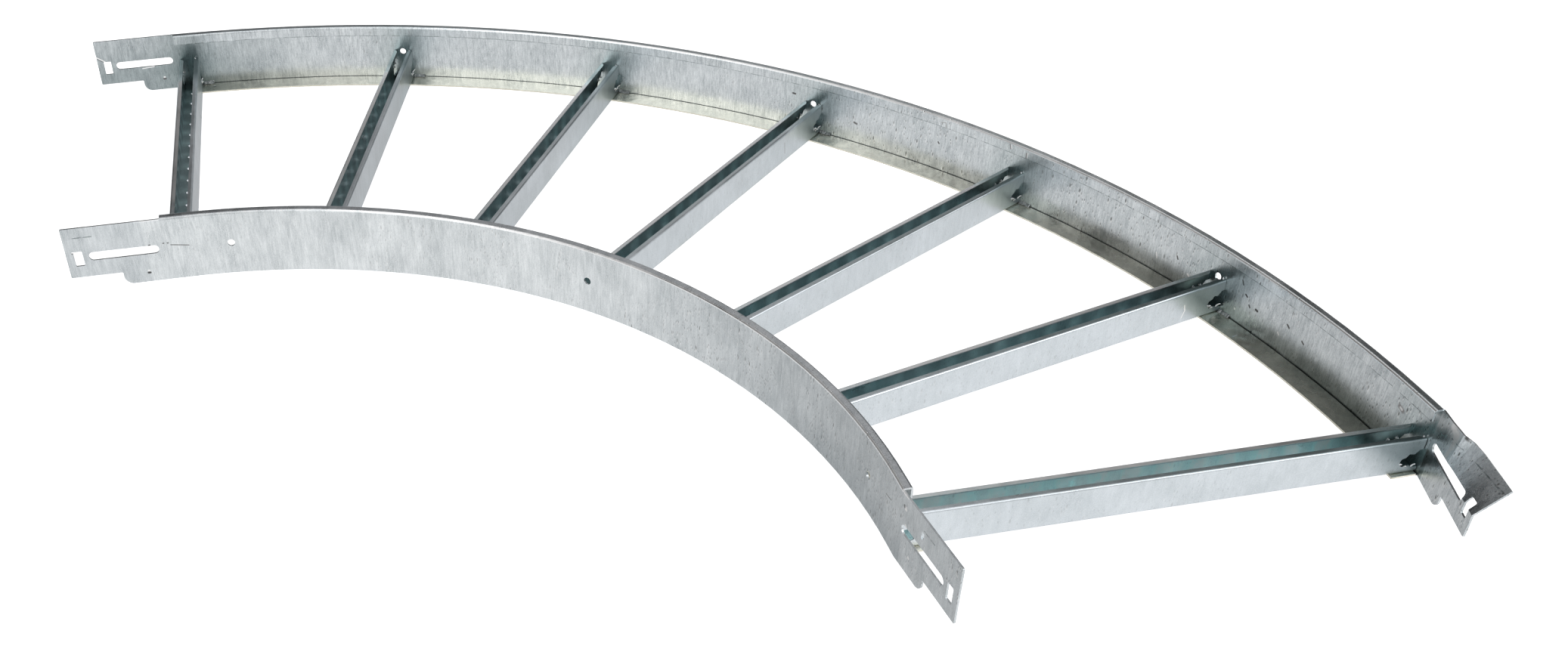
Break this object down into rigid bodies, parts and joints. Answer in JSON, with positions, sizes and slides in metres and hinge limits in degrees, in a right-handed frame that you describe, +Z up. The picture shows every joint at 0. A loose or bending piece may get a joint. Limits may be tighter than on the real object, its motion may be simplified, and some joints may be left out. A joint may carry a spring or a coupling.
{
  "type": "cable ladder bend",
  "caption": "Flat quarter bend of a metal cable ladder: curved side rails joined by radial C-section rungs, with slotted tabs at both ends",
  "frame": {"origin": "on the floor plane, under the middle of the part's bounding box", "axes": "+Z up; the first rung runs along Y and the last along X, and the outside of the bend faces +X and +Y; one pair of joining tabs points to -X and the other to -Y"},
  "size_m": [0.974, 0.9772, 0.06],
  "materials": {
    "galvanised_rail": "hot-dip galvanised, pale grey with streaks",
    "galvanised_strip": "galvanised flat strip, slightly darker",
    "galvanised_rung": "galvanised, smoother, blue grey",
    "weld": "galvanised weld bead, uneven"
  },
  "bodies": {
    "root": {"outer_rail": "galvanised_rail", "inner_rail": "galvanised_rail", "outer_foot_strip": "galvanised_strip", "inner_foot_strip": "galvanised_strip", "outer_weld_beads": "weld", "inner_weld_beads": "weld", "rung_1": "galvanised_rung", "rung_2": "galvanised_rung", "rung_3": "galvanised_rung", "rung_4": "galvanised_rung", "rung_5": "galvanised_rung", "rung_6": "galvanised_rung", "rung_7": "galvanised_rung"}
  },
  "joints": []
}
